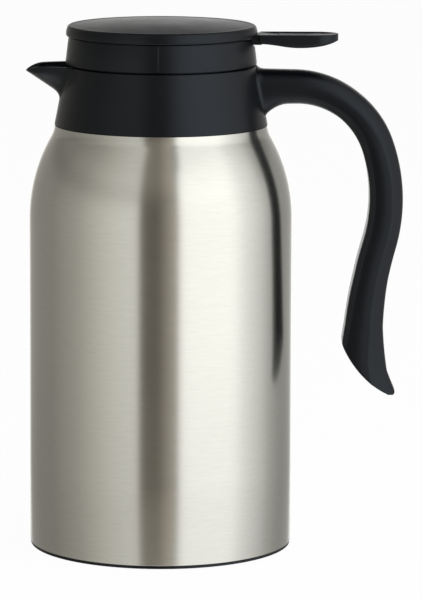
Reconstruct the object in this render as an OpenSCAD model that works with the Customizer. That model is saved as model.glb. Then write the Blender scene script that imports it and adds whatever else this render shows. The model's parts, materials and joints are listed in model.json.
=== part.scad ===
// Vacuum-walled steel carafe with a screw-in stopper, a rocking flip lid and an open-ended handle.
// Millimetres. The origin is on the body's axis at the level it stands on, +Z up.
// The spout points to -X and the handle and thumb lever to +X.

/* [Steel body] */
// Outer diameter of the steel body
body_d = 125; // [118:1:132]
// Height where the straight wall ends and the shoulder begins
shoulder_z = 157.5; // [140:0.5:165]
// Height where the rounded shoulder eases into the collar's slope
shoulder_end_z = 196.5; // [194:0.5:198]
// Distance that the rounded shoulder ends outside the collar's foot
shoulder_ease = 1.55; // [1.3:0.05:1.8]
// Thickness of the sheet steel
steel_t = 0.8; // [0.6:0.1:1]
// Width of the vacuum gap between the two steel walls
vacuum_gap = 5.2; // [3:0.1:6]
// Height of the inner flask's bottom
flask_floor_z = 22; // [17:0.5:26]
// Inner radius of the flask's neck
neck_bore_r = 33.8; // [32:0.1:35]
// Height of the steel mouth
mouth_z = 210; // [209:0.1:211]

/* [Base] */
// Height of the black base band that shows under the steel
band_h = 2; // [1.5:0.1:4]
// Depth of the base cover's rim inside the steel shell
base_rim_h = 7; // [4:0.5:9]
// Mean radius of the rubber foot ring
foot_r = 53; // [45:0.5:56]
// Width of the rubber foot ring
foot_w = 7; // [4:0.5:9]

/* [Collar] */
// Height where the steel ends and the collar begins
collar_z = 201.5; // [200:0.5:203]
// Radius of the collar at its foot
collar_foot_r = 50.6; // [49:0.1:51.5]
// Height of the collar's top edge
collar_top_z = 230.4; // [228:0.1:233]
// Radius of the collar at its top edge
collar_top_r = 45; // [44:0.1:46]
// Thickness of the collar's outer skin
skin_t = 2.2; // [1.6:0.1:2.8]
// Radius of the collar's threaded bore
bore_r = 38; // [37.5:0.1:38.6]
// Thickness of the collar's inner sleeve
sleeve_t = 2.2; // [1.6:0.1:2.6]

/* [Spout] */
// Reach of the spout's tip from the axis
spout_reach = 64.1; // [58:0.1:70]
// Height of the spout's tip
spout_tip_z = 227.7; // [225:0.1:229]
// Reach of the point where the underside turns down
spout_keel_x = 49.8; // [48:0.1:53]
// Height of that point
spout_keel_z = 218.1; // [216:0.1:221]
// Half width of the spout at the collar
spout_half_w = 15; // [12:0.5:17]
// Wall thickness of the spout
spout_t = 1.8; // [1.4:0.1:2.4]

/* [Screw thread] */
// Rise of the thread in one turn
thread_lead = 24; // [20:1:28]
// Number of thread starts
thread_starts = 4; // [4]
// Height of a thread ridge, measured out from its wall
ridge_h = 1.5; // [1.2:0.1:1.7]
// Thickness of a ridge at its crest
ridge_t = 1.2; // [0.8:0.1:1.6]
// Arc that one ridge covers, in degrees
ridge_arc = 44; // [30:1:50]
// Depth of the stopper below the collar's top edge
plug_depth = 26.9; // [25.5:0.1:28]

/* [Handle] */
// Height of the handle's centre line where it leaves the collar
handle_z = 220.4; // [218:0.1:222]
// Straight length at the collar
handle_run = 17.6; // [14:0.1:22]
// Radius of the upper bend
bend_r = 41.3; // [38:0.1:46]
// Angle of the upper bend
bend_a = 71.4; // [66:0.1:76]
// Radius of the long bend down the back
back_r = 79; // [72:0.5:86]
// Angle of the long bend
back_a = 34.7; // [30:0.1:38]
// Radius of the reversed bend at the free end
tail_r = 189; // [160:1:220]
// Angle of the reversed bend
tail_a = 22.4; // [18:0.1:25]
// Thickness of the grip half way down
grip_t = 16.2; // [14:0.1:19]
// Width of the grip
grip_w = 21; // [18:0.5:24]
// Wall thickness of the hollow handle
handle_wall = 3; // [2.4:0.1:3.6]
// Radius of the slanted cut at the handle's free end
end_r = 51; // [40:1:70]
// Distance of that cut's centre from the free end, outwards
end_out = 36.6; // [30:0.2:42]
// Distance of that cut's centre above the free end
end_up = 37.6; // [31:0.2:43]

/* [Lid] */
// Height of the lid ring's lower edge
ring_z = 231.2; // [230.9:0.1:231.6]
// Radius of the lid ring at its lower edge
ring_foot_r = 45.3; // [44.5:0.1:46]
// Radius of the lid ring at its top edge
ring_top_r = 44.1; // [43.5:0.1:44.6]
// Height of the lid ring
ring_h = 10; // [9:0.1:10.4]
// Wall thickness of the lid ring
ring_t = 2; // [1.6:0.1:2.4]
// Distance that the flip lid's widest part reaches past the lid ring's top edge
disc_over = 1.2; // [0.7:0.1:1.9]
// Distance that the flip lid sits off the axis, towards its hinge
disc_x = 0.3; // [0:0.1:0.5]
// Height of the flip lid's rim
disc_rim_h = 5.1; // [4.6:0.1:6]
// Height of the flip lid's crown above its rim
disc_crown = 2.4; // [1.5:0.1:4]
// Shell thickness of the flip lid
disc_t = 2.2; // [1.6:0.1:2.4]
// Angle that the flip lid opens by
lid_open = 12; // [8:1:12]

/* [Thumb lever] */
// Distance of the hinge pin inside the lid ring's top edge
hinge_in = 4.1; // [3.9:0.1:4.6]
// Distance of the paddle's lowest point past the hinge pin
belly_run = 25; // [20:1:30]
// Radius of the hinge pin
pin_r = 1; // [0.8:0.1:1.1]
// Reach of the lever's tip from the axis
lever_reach = 83.6; // [76:0.1:88]
// Width of the lever's paddle
lever_w = 19; // [16:0.5:22]
// Height of the paddle's top face above the hinge pin
lever_rise = 4.3; // [4:0.1:5]
// Depth of the paddle's belly below its top face
lever_belly = 6.3; // [5.5:0.1:7]

/* [Valve] */
// Radius of the valve stem
stem_r = 3; // [2.5:0.1:3.2]
// Radius of the hole that the valve closes
seat_r = 13.5; // [11:0.5:15]
// Radius of the valve plate
valve_r = 17; // [16:0.5:20]
// Mean radius of the valve spring
spring_r = 6.2; // [6:0.1:7]
// Thickness of the spring's wire
wire_d = 1; // [0.8:0.1:1.1]
// Number of curls of the spring
curls = 6; // [4:1:7]

/* [Hidden] */
$fn = 96;

far = 400;                  // longer than anything that is cut
fit = 0.05;                 // running clearance round a pin or a stem
gap = 0.3;                  // clearance between pieces that move past each other
seat_gap = 0.2;             // clearance under a face that lands on a seat
black = [0.09, 0.095, 0.1];
steel = [0.74, 0.73, 0.7];
bright = [0.82, 0.82, 0.82];
silicone = [0.86, 0.86, 0.82];
rubber_grey = [0.16, 0.16, 0.17];

body_r = body_d / 2;
collar_slope = (collar_foot_r - collar_top_r) / (collar_top_z - collar_z);
steel_edge_r = collar_foot_r - 0.1;
// The shoulder is an arc that leaves the wall upright and ends just outside the collar's foot.
shoulder_end_r = steel_edge_r + shoulder_ease;
shoulder_a = 2 * atan((body_r - shoulder_end_r) / (shoulder_end_z - shoulder_z));
shoulder_r = (shoulder_end_z - shoulder_z) / sin(shoulder_a);
shoulder_x = body_r - shoulder_r;
arc_steps = 20;
joggle_z = collar_z + 0.6;
neck_r = neck_bore_r + 3.2;
neck_root_z = mouth_z - 5;
rim_z = mouth_z - steel_t;
bead_z = mouth_z - 2.4;
bead_r = 0.7;

function collar_r(z) = collar_top_r + collar_slope * (collar_top_z - z);
function sq(v) = v * v;
function reversed(list) = [for (i = [len(list) - 1:-1:0]) list[i]];
// Points of a smooth curve from a to b that leans towards c.
function eased(a, c, b, steps) = [
  for (i = [1:steps]) let (t = i / steps) sq(1 - t) * a + 2 * t * (1 - t) * c + sq(t) * b
];

// Outline of the outer wall, drawn in by the sheet's thickness for its inner face.
ease_dz = (shoulder_ease - collar_slope * (collar_z - shoulder_end_z)) / (tan(shoulder_a) - collar_slope);
ease_mid = [shoulder_end_r - ease_dz * tan(shoulder_a), shoulder_end_z + ease_dz];
ease_end = [steel_edge_r + collar_slope * steel_t, collar_z - steel_t];
function shell_line(t) = concat(
  [[body_r - t, band_h]],
  [for (i = [0:arc_steps]) let (a = shoulder_a * i / arc_steps)
    [shoulder_x + (shoulder_r - t) * cos(a), shoulder_z + (shoulder_r - t) * sin(a)]],
  eased([shoulder_end_r - t, shoulder_end_z - t / 2], ease_mid - [t, t / 2], ease_end - [t, t], 6),
  [[steel_edge_r - t, collar_z - t], [steel_edge_r - skin_t - 0.1 - t / 2, collar_z - t]],
  [[steel_edge_r - skin_t - 0.5 - t / 2, joggle_z - t]],
  [[neck_r + 3 - t / 2, neck_root_z - 1.4 - t], [neck_r - t, neck_root_z - t / 2], [neck_r - t, rim_z]]
);

// Outline of the inner wall's outer face, and drawn in for its inner face.
flask_r = body_r - steel_t - vacuum_gap;
flask_shoulder_r = shoulder_r - steel_t - vacuum_gap;
flask_top_z = shoulder_end_z - 0.5;
flask_top_a = asin((flask_top_z - shoulder_z) / flask_shoulder_r);
flask_corner = 9;
function flask_line(t) = concat(
  [[0, flask_floor_z + t]],
  [for (i = [0:8]) let (a = -90 + 90 * i / 8)
    [flask_r - flask_corner + (flask_corner - t) * cos(a),
     flask_floor_z + flask_corner + (flask_corner - t) * sin(a)]],
  [for (i = [0:arc_steps]) let (a = flask_top_a * i / arc_steps)
    [shoulder_x + (flask_shoulder_r - t) * cos(a), shoulder_z + (flask_shoulder_r - t) * sin(a)]],
  [[neck_bore_r + steel_t + 4 - t / 2, rim_z - 9 - t], [neck_bore_r + steel_t - t, rim_z - 5 - t / 2]],
  [[neck_bore_r + steel_t - t, t > 0 ? mouth_z : rim_z]]
);

// Levels inside the mouth, from the steel rim up.
gasket_h = 1.4;
shelf_z = mouth_z + gasket_h;
shelf_t = 2;
shelf_r = neck_bore_r + 1;
rebate_z = collar_top_z - 1.2;
rebate_r = bore_r + 3.8;
pocket_top_z = collar_top_z - 4.4;
sleeve_r = bore_r + sleeve_t;
sleeve_foot_z = neck_root_z - 0.5;
clip_z = bead_z - 2;
clip_h = 1.2;
clip_r = neck_r + 1.9;

// The stopper and its levels.
plug_r = neck_bore_r - 1.8;
plug_wall = 2;
plug_floor_z = collar_top_z - plug_depth;
floor_t = 2;
skirt_r = bore_r - 2;
skirt_t = 2;
skirt_z = shelf_z + shelf_t + 0.4;
skirt_floor_t = 1.6;
flange_r = rebate_r - gap;
flange_z = rebate_z + seat_gap;
window_half = 11;
window_low = skirt_z + 2.4;
window_high = flange_z - 1.4;
seal_z = plug_floor_z + 2.2;
seal_h = 3.2;
deck_t = 2;
deck_z = ring_z + deck_t;
screw_circle_r = skirt_r - skirt_t - 4;
screw_r = 1.4;
screw_head_r = 2.8;
screw_head_h = 1.8;
boss_r = 3.4;

// The lid's levels.
ring_top_z = ring_z + ring_h;
hinge_x = ring_top_r - hinge_in;
hinge_z = ring_top_z;
disc_r = ring_top_r + disc_over;
lever_top_z = hinge_z + lever_rise;
disc_z = ring_top_z + 2;
disc_side_z = disc_z + disc_rim_h;
disc_lean = 1;
dome_r = (sq(disc_r - disc_lean) + sq(disc_crown)) / (2 * disc_crown);
liner_t = 1.6;
liner_r = ring_top_r - ring_t - 0.7;
barrel_r = 2.1;
ear_r = 1.9;
ear_t = 3;
barrel_half = 7.5;
ear_half = barrel_half + gap + ear_t;
tongue_x = 12;
tongue_half = 6.6;
tongue_t = 2;
disc_screw_l = 4.6;
disc_boss_x = 24;
disc_boss_y = 20;
disc_boss_places = [[tongue_x + 6, 0], [tongue_x + 19, 0], [-disc_boss_x, disc_boss_y], [-disc_boss_x, -disc_boss_y]];
lever_root_x = disc_x + disc_r + 0.8;
neck_low_z = hinge_z - 0.6;
neck_high_z = hinge_z + 3.2;
notch_z = hinge_z - 2;

// The valve's levels.
valve_lift = hinge_x * lid_open * PI / 180;
valve_z = plug_floor_z + floor_t + gap;
valve_seal_h = 1.3;
plate_z = valve_z + valve_seal_h;
plate_t = 1.8;
hub_r = 7.2;
hub_z = plate_z + plate_t + 2.1;
peg_r = 1.2;
peg_z = hinge_z - 3.6;
head_r = 7;
head_z = peg_z + peg_r + seat_gap;
head_h = 1.5;
fork_in = head_r + 1.4;
fork_t = 2.2;
guide_r = 4.6;
guide_foot_z = hub_z + valve_lift + 1;
guide_top_z = deck_z + 1.6;

// ---------------------------------------------------------------- shared shapes

// A ring or disc about the axis: a tube when inner is above zero.
module ring(outer, inner, low, high) {
  translate([0, 0, low]) difference() {
    cylinder(r = outer, h = high - low);
    if (inner > 0) translate([0, 0, -1]) cylinder(r = inner, h = high - low + 2);
  }
}

// A cylinder along Y, centred on the symmetry plane.
module cross_rod(x, z, r, length) {
  translate([x, 0, z]) rotate([90, 0, 0]) cylinder(r = r, h = length, center = true);
}

// A box between two corners.
module block(low, high) {
  translate(low) cube(high - low);
}

// One thread ridge: a wedge that climbs round the wall from the angle a0.
// root is the wall's radius and side is +1 for a ridge outside it, -1 for one inside.
module thread_ridge(root, side, z0, a0) {
  steps = 10;
  bite = 0.3;
  half_root = ridge_t / 2 + 0.45;
  function ring_at(i) = let (
    a = a0 + ridge_arc * i / steps,
    z = z0 + thread_lead * ridge_arc * i / steps / 360,
    r0 = root - side * bite,
    r1 = root + side * ridge_h
  ) [
    [r0 * cos(a), r0 * sin(a), z - half_root],
    [r1 * cos(a), r1 * sin(a), z - ridge_t / 2],
    [r1 * cos(a), r1 * sin(a), z + ridge_t / 2],
    [r0 * cos(a), r0 * sin(a), z + half_root]
  ];
  pts = [for (i = [0:steps]) each ring_at(i)];
  sides = [for (i = [0:steps - 1], j = [0:3]) each
    let (a = 4 * i + j, b = 4 * i + (j + 1) % 4) [[a, b, b + 4], [a, b + 4, a + 4]]];
  ends = [[2, 1, 0], [3, 2, 0], [4 * steps, 4 * steps + 1, 4 * steps + 2],
    [4 * steps, 4 * steps + 2, 4 * steps + 3]];
  faces = concat(sides, ends);
  polyhedron(pts, side > 0 ? faces : [for (f = faces) reversed(f)]);
}

module thread(root, side, z0) {
  for (k = [0:thread_starts - 1])
    thread_ridge(root, side, z0, 360 * (k + 0.5) / thread_starts - ridge_arc / 2);
}

// Outline of the spout seen from above, drawn in by t.
module spout_plan(t) {
  nose_x = spout_reach - t;
  steps = 14;
  half = spout_half_w - t;
  base_x = collar_top_r - 6;
  polygon(concat(
    [for (i = [-steps:steps]) let (a = 90 * i / steps)
      [-base_x - (nose_x - base_x) * pow(cos(a), 0.8), half * sin(a)]]
  ));
}

// A self-tapping screw with its head's seat at the origin, pointing up.
module screw(length) {
  cylinder(r = screw_r, h = length - 1);
  translate([0, 0, length - 1]) cylinder(r1 = screw_r, r2 = 0.5, h = 1);
  difference() {
    translate([0, 0, -screw_head_h]) cylinder(r = screw_head_r, h = screw_head_h);
    for (a = [0, 90]) rotate([0, 0, a]) block([-2, -0.35, -screw_head_h - 1], [2, 0.35, -screw_head_h + 0.9]);
  }
}

// ---------------------------------------------------------------- steel body and base

module outer_shell() {
  color(steel) rotate_extrude($fn = 180) polygon(concat(shell_line(0), reversed(shell_line(steel_t))));
  color(steel) rotate_extrude($fn = 180) translate([neck_r - 0.1, bead_z]) circle(r = bead_r, $fn = 24);
}

module inner_flask() {
  color(bright) rotate_extrude($fn = 180) polygon(concat(
    flask_line(0),
    [[neck_r, rim_z], [neck_r, mouth_z]],
    reversed(flask_line(steel_t))
  ));
}

plate_edge_r = body_r - steel_t;
plate_level = band_h + base_rim_h + 2.5;
module bottom_plate() {
  color(bright) difference() {
    union() {
      ring(plate_edge_r, plate_edge_r - steel_t, plate_level - 2, plate_level + 2);
      ring(plate_edge_r - steel_t / 2, 0, plate_level, plate_level + steel_t);
    }
    translate([0, 0, plate_level - 1]) cylinder(r = 1.5, h = steel_t + 2, $fn = 48);
  }
}

module vacuum_seal() {
  color(bright) translate([0, 0, plate_level - 1.2]) cylinder(r = 4, h = 1.2, $fn = 48);
}

getter_r = 7;
getter_x = 30;
module getter_cup() {
  color(bright) translate([getter_x, 0, plate_level + steel_t]) difference() {
    cylinder(r = getter_r, h = 3);
    translate([0, 0, steel_t]) cylinder(r = getter_r - steel_t, h = 3);
  }
}

module getter_pellet() {
  color([0.35, 0.35, 0.37]) translate([getter_x, 0, plate_level + 2 * steel_t])
    cylinder(r = getter_r - steel_t, h = 1.6);
}

base_low_z = 0.5;
base_floor_t = 1.6;
module base_cover() {
  color(black) difference() {
    union() {
      translate([0, 0, base_low_z])
        cylinder(r1 = body_r - 0.7, r2 = body_r - 0.2, h = band_h - base_low_z);
      ring(plate_edge_r, 0, base_low_z + 0.5, band_h + base_rim_h);
    }
    ring(plate_edge_r - 2, 0, base_low_z + base_floor_t, far);
    ring(foot_r + foot_w / 2, foot_r - foot_w / 2, -1, base_low_z + 0.7);
    ring(plate_edge_r + 1, plate_edge_r - 0.1, band_h, far);
  }
}

module foot_ring() {
  color(rubber_grey) ring(foot_r + foot_w / 2, foot_r - foot_w / 2, 0, base_low_z + 0.7);
}

// ---------------------------------------------------------------- collar

// The spout's underside climbs in a straight line from the collar to the tip.
keel_rise = (spout_tip_z - spout_keel_z) / (spout_reach - spout_keel_x);
keel_lean = norm([1, keel_rise]);
function keel_at(x) = spout_keel_z + keel_rise * (x - spout_keel_x);
// The spout's solid shape: a scoop from its rim down to the keel under it.
module scoop(t) {
  rise = t * keel_lean;
  nose = 1.2;
  hull() {
    translate([0, 0, collar_top_z - 0.1]) linear_extrude(0.1) spout_plan(t);
    translate([-spout_reach + nose + t * 2.4, 0, spout_tip_z + 0.5 + rise]) sphere(r = nose - t * 0.4, $fn = 16);
    for (s = [-1, 1], k = [[spout_keel_x - 1.7, 4, 3], [collar_foot_r - 8, 6, 2]])
      translate([-k[0], s * (k[1] - t), keel_at(k[0]) + k[2] * keel_lean + rise]) sphere(r = k[2], $fn = 32);
  }
}

// Everything that the nose's rounded top takes away.
module nose_cut() {
  nose_r = 14;
  nose_x = spout_reach - 8.1;
  difference() {
    block([-nose_x - far, -far, collar_top_z - nose_r], [-nose_x, far, collar_top_z + far]);
    cross_rod(-nose_x, collar_top_z - nose_r, nose_r, far);
  }
}

// The way that the coffee takes from the bore out to the tip.
module spout_channel() {
  scoop(spout_t);
  hull() {
    translate([0, 0, collar_top_z]) linear_extrude(2) spout_plan(spout_t);
    translate([0, 0, collar_top_z - 0.1]) linear_extrude(0.1) spout_plan(spout_t);
  }
  hull() {
    block([-bore_r - 5, -window_half, window_low + 3], [-bore_r + 6, window_half, collar_top_z + 2]);
    block([-bore_r - 5, 2 - window_half, window_low], [-bore_r + 6, window_half - 2, collar_top_z]);
  }
}

module collar_cone(drawn_in, low, high) {
  translate([0, 0, low])
    cylinder(r1 = collar_r(low) - drawn_in, r2 = collar_r(high) - drawn_in, h = high - low, $fn = 180);
}

root_half = 8;
root_low_z = skirt_z + 1.2;
root_high_z = pocket_top_z;
bridge_t = 3;
handle_screw_x = bore_r + 5.2;
handle_screw_y = 4.6;

module collar() {
  color(black) difference() {
    union() {
      difference() {
        collar_cone(0, collar_z, collar_top_z);
        collar_cone(skin_t, collar_z - 1, pocket_top_z);
      }
      ring(sleeve_r, 0, sleeve_foot_z, pocket_top_z);
      intersection() {
        collar_cone(0.5, collar_z + 1, collar_top_z);
        union() {
          block([-far, -spout_half_w + 1, shelf_z], [-bore_r + 2, spout_half_w - 1, far]);
          block([bore_r, -root_half, root_low_z - bridge_t], [far, root_half, root_low_z]);
        }
      }
      difference() {
        scoop(0);
        collar_cone(2, collar_z - 20, collar_top_z + 2);
      }
    }
    ring(bore_r, 0, shelf_z + shelf_t, far);
    ring(shelf_r, 0, sleeve_foot_z - 1, far);
    ring(neck_r + 1.1, 0, collar_z - 3, shelf_z);
    ring(clip_r + 0.15, 0, clip_z - 0.1, clip_z + clip_h + 0.1);
    ring(rebate_r, 0, rebate_z, far);
    spout_channel();
    nose_cut();
    block([sleeve_r + 0.6, -root_half, root_low_z], [far, root_half, root_high_z - 0.6]);
    for (s = [-1, 1]) translate([handle_screw_x, s * handle_screw_y, root_low_z - bridge_t - 1])
      cylinder(r = screw_r + 0.2, h = bridge_t + 2, $fn = 32);
  }
  color(black) thread(bore_r, -1, root_low_z + 7.4);
}

module collar_gasket() {
  color(silicone) ring(neck_r, shelf_r - 0.4, mouth_z, shelf_z);
}

module neck_clip() {
  color(bright) difference() {
    ring(clip_r, neck_r + 0.1, clip_z, clip_z + clip_h);
    block([-far, -2, clip_z - 1], [0, 2, clip_z + clip_h + 1]);
  }
}

// ---------------------------------------------------------------- handle

handle_x = collar_r(handle_z) - 0.94;
// Moves the place [x, z, heading] on by d along an arc of radius r. The heading turns from +X to -Z.
function arc_on(p, r, d) = let (a = d / r * 180 / PI) [
  p[0] + r * (sin(p[2] + a) - sin(p[2])),
  p[1] - r * (cos(p[2]) - cos(p[2] + a)),
  p[2] + a
];
bend_len = bend_r * bend_a * PI / 180;
back_len = back_r * back_a * PI / 180;
tail_len = tail_r * tail_a * PI / 180;
handle_len = handle_run + bend_len + back_len + tail_len;
bend_start = [handle_x + handle_run, handle_z, 0];
back_start = arc_on(bend_start, bend_r, bend_len);
tail_start = arc_on(back_start, back_r, back_len);
// Centre line of the handle: [x, z, heading] at the distance s from the collar.
function handle_at(s) =
  s < handle_run ? [handle_x + s, handle_z, 0]
  : s < handle_run + bend_len ? arc_on(bend_start, bend_r, s - handle_run)
  : s < handle_run + bend_len + back_len ? arc_on(back_start, back_r, s - handle_run - bend_len)
  : arc_on(tail_start, -tail_r, s - handle_run - bend_len - back_len);
// Thickness along the handle, as shares of its length and of the grip's thickness.
thick_at = [[0, 1.03], [0.24, 0.915], [0.52, 1], [0.7, 1.03], [0.82, 1.14], [0.94, 1.44], [1, 1.86]];
function handle_t(s) = grip_t * lookup(s / handle_len, thick_at);
// How far the underside flares down towards the collar.
flare_len = 14;
flare_h = 9;
function flare(s) = flare_h * sq(1 - min(flare_len, max(s, 0)) / flare_len);
// How far the top rises and the sides spread at the collar.
crest_h = 2.2;
crest_len = 2.6;
function crest(s) = crest_h * sq(1 - min(crest_len, max(s + 0.6, 0)) / crest_len);
spread_w = 2.4;
spread_len = 4;
function spread(s) = spread_w * sq(1 - min(spread_len, max(s + 2, 0)) / spread_len);
// A point of the section at s: across is along Y, out is away from the body.
function handle_point(s, across, out) = let (p = handle_at(s))
  [p[0] + out * sin(p[2]), across, p[1] + out * cos(p[2])];

// Skin over rings of points, all with the same number of sides.
module skin(rings) {
  n = len(rings[0]);
  m = len(rings);
  faces = concat(
    [for (i = [0:m - 2], j = [0:n - 1]) let (k = (j + 1) % n) each
      [[i * n + j, (i + 1) * n + k, i * n + k], [i * n + j, (i + 1) * n + j, (i + 1) * n + k]]],
    [for (j = [1:n - 2]) [0, j, j + 1]],
    [for (j = [1:n - 2]) [(m - 1) * n, (m - 1) * n + j + 1, (m - 1) * n + j]]
  );
  polyhedron([for (r = rings) each r], faces);
}

root_rings = 14;
handle_rings = 66;
handle_sides = 28;
// Places of the rings: close together at the collar, wider apart along the grip.
root_from = -4;
root_to = 8;
function ring_place(i) = i < root_rings
  ? root_from + (root_to - root_from) * i / root_rings
  : root_to + (handle_len - root_to) * (i - root_rings) / (handle_rings - root_rings);
roundness = 0.72;
function powered(v) = sign(v) * pow(abs(v), roundness);
module handle_solid() {
  skin([for (i = [0:handle_rings]) let (s = ring_place(i), t = handle_t(s) / 2)
    [for (j = [0:handle_sides - 1]) let (a = 360 * j / handle_sides)
      handle_point(s, (grip_w / 2 + spread(s)) * powered(cos(a)),
        (t + (sin(a) < 0 ? flare(s) : crest(s))) * powered(sin(a)))]]);
}

// A channel of the given half width, from low to high above the inner face, between two distances.
module handle_channel(half, low, high, from, to) {
  steps = 40;
  skin([for (i = [0:steps]) let (s = from + (to - from) * i / steps, t = handle_t(s) / 2)
    [handle_point(s, half, low - t), handle_point(s, half, high(t) - t),
     handle_point(s, -half, high(t) - t), handle_point(s, -half, low - t)]]);
}

hollow_from = 14;
hollow_to = handle_len - 34;
hollow_half = grip_w / 2 - handle_wall - 1;
liner_depth = 2.4;

// What the slanted, rounded cut at the handle's free end leaves.
module handle_end_keep() {
  tip = handle_point(handle_len - grip_t / 2, 0, 0);
  cut_x = tip[0] + end_out;
  cut_z = tip[2] + end_up;
  cross_rod(cut_x, cut_z, end_r, far);
  block([-far, -far, cut_z], [far, far, far]);
  block([cut_x, -far, cut_z - end_r], [far, far, far]);
}

module handle_shell() {
  color(black) difference() {
    intersection() {
      handle_solid();
      handle_end_keep();
    }
    collar_cone(0, collar_z - 1, collar_top_z + 5);
    handle_channel(hollow_half, -2, function(t) 2 * t - handle_wall, hollow_from, hollow_to);
  }
  color(black) difference() {
    intersection() {
      collar_cone(-2, root_low_z, root_high_z - 1);
      block([sleeve_r + 0.7, 0.1 - root_half, root_low_z], [far, root_half - 0.1, root_high_z - 1]);
    }
    for (s = [-1, 1]) translate([handle_screw_x, s * handle_screw_y, root_low_z - 1])
      cylinder(r = screw_r + 0.02, h = 8.4, $fn = 32);
  }
}

module handle_liner() {
  slack = 0.15;
  color(black) intersection() {
    handle_solid();
    handle_channel(hollow_half - slack, -2, function(t) liner_depth, hollow_from + slack, hollow_to - slack);
  }
}

module handle_screws() {
  color(bright) for (s = [-1, 1])
    translate([handle_screw_x, s * handle_screw_y, root_low_z - bridge_t]) screw(10);
}

// ---------------------------------------------------------------- stopper

module stopper_gasket() {
  color(silicone) rotate_extrude($fn = 128) polygon([
    [plug_r + gap, seal_z + gap],
    [neck_bore_r - 0.8, seal_z + gap],
    [neck_bore_r - 0.3, seal_z + 1.2],
    [neck_bore_r - 0.3, seal_z + 1.8],
    [neck_bore_r - 0.8, seal_z + seal_h - gap],
    [plug_r + gap, seal_z + seal_h - gap]
  ]);
}

module screw_places() {
  for (a = [60, 180, 300]) rotate([0, 0, a + 180]) translate([screw_circle_r, 0, 0]) children();
}

module stopper_body() {
  color(black) difference() {
    union() {
      ring(plug_r, plug_r - plug_wall, plug_floor_z, skirt_z + skirt_floor_t);
      ring(plug_r, seat_r, plug_floor_z, plug_floor_z + floor_t);
      ring(neck_bore_r - 0.9, plug_r - 1, plug_floor_z, seal_z);
      ring(neck_bore_r - 0.9, plug_r - 1, seal_z + seal_h, seal_z + seal_h + 1.2);
      ring(skirt_r, plug_r - plug_wall, skirt_z, skirt_z + skirt_floor_t);
      ring(skirt_r, skirt_r - skirt_t, skirt_z, ring_z);
      ring(flange_r, skirt_r - skirt_t, flange_z, ring_z);
      intersection() {
        ring(skirt_r - 1, 0, ring_z - 11, ring_z);
        screw_places() translate([0, 0, ring_z - 11]) {
          cylinder(r = boss_r, h = 11, $fn = 48);
          block([0, -boss_r + 1, 0], [skirt_r, boss_r - 1, 11]);
        }
      }
    }
    block([-far, -window_half, window_low], [0, window_half, window_high]);
    block([0, -4, window_low + 4], [far, 4, window_low + 8]);
    screw_places() translate([0, 0, ring_z - 9.5]) cylinder(r = screw_r + 0.02, h = 20, $fn = 32);
  }
  color(black) thread(skirt_r, 1, root_low_z + 7.4 - thread_lead / thread_starts / 2);
}

module lid_screws() {
  color(bright) screw_places() translate([0, 0, deck_z]) mirror([0, 0, 1]) screw(10);
}

// ---------------------------------------------------------------- lid ring and hinge

module lid_ring() {
  color(black) difference() {
    union() {
      difference() {
        translate([0, 0, ring_z]) cylinder(r1 = ring_foot_r, r2 = ring_top_r, h = ring_h, $fn = 180);
        translate([0, 0, ring_z - 0.001])
          cylinder(r1 = ring_foot_r - ring_t, r2 = ring_top_r - ring_t, h = ring_h + 0.01, $fn = 180);
      }
      ring(ring_foot_r - ring_t + 0.2, 0, ring_z, deck_z);
      for (s = [-1, 1]) translate([0, s * (ear_half - ear_t / 2), 0]) {
        cross_rod(hinge_x, hinge_z, ear_r, ear_t);
        block([hinge_x - ear_r, -ear_t / 2, deck_z - 0.5], [hinge_x + ear_r, ear_t / 2, hinge_z]);
        block([hinge_x, -ear_t / 2, deck_z - 0.5], [ring_top_r - ring_t, ear_t / 2, hinge_z]);
      }
    }
    block([hinge_x + 1, ear_t - ear_half, notch_z], [far, ear_half - ear_t, far]);
    cross_rod(hinge_x, hinge_z, pin_r + fit, 2 * ear_half + 1);
    translate([0, 0, ring_z - 1]) cylinder(r = guide_r + 1.02, h = deck_t + 2);
    screw_places() translate([0, 0, ring_z - 1]) cylinder(r = screw_r + 0.2, h = deck_t + 2, $fn = 32);
  }
}

module hinge_pin() {
  color(bright) cross_rod(hinge_x, hinge_z, pin_r, 2 * ear_half - 0.4);
}

module stem_guide() {
  color(silicone) difference() {
    union() {
      ring(guide_r, 0, guide_foot_z, deck_z);
      ring(guide_r + 1, 0, ring_z, deck_z);
      ring(guide_r + 3.4, 0, deck_z, guide_top_z);
    }
    translate([0, 0, guide_foot_z - 1]) cylinder(r = stem_r + fit, h = far);
    ring(stem_r + 1.4, 0, guide_top_z - 1, far);
  }
}

module stem_washer() {
  color(rubber_grey) ring(stem_r + 1.4, stem_r + 0.1, guide_top_z - 1, guide_top_z);
}

// ---------------------------------------------------------------- flip lid and lever

// The flip lid's solid, drawn in by t all round except at its open foot.
module disc_solid(t) {
  crown_z = disc_side_z + disc_crown - t;
  intersection() {
    union() {
      translate([disc_x, 0, disc_z]) cylinder(r1 = disc_r - 0.25 - t, r2 = disc_r - t, h = 1.3, $fn = 180);
      translate([disc_x, 0, disc_z + 1.3])
        cylinder(r1 = disc_r - t, r2 = disc_r - disc_lean - t, h = disc_rim_h + disc_crown, $fn = 180);
    }
    translate([disc_x, 0, crown_z - dome_r]) rotate_extrude($fn = 180)
      intersection() {
        circle(r = dome_r, $fn = 360);
        translate([0, dome_r - 30]) square([disc_r + 10, 40]);
      }
  }
}

module disc_bosses(hole) {
  for (p = disc_boss_places)
    translate([p[0], p[1], disc_z + (p[1] == 0 ? tongue_t : liner_t)]) cylinder(r = hole ? screw_r + 0.02 : boss_r, h = hole ? 3.3 : 8, $fn = 48);
}

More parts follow.
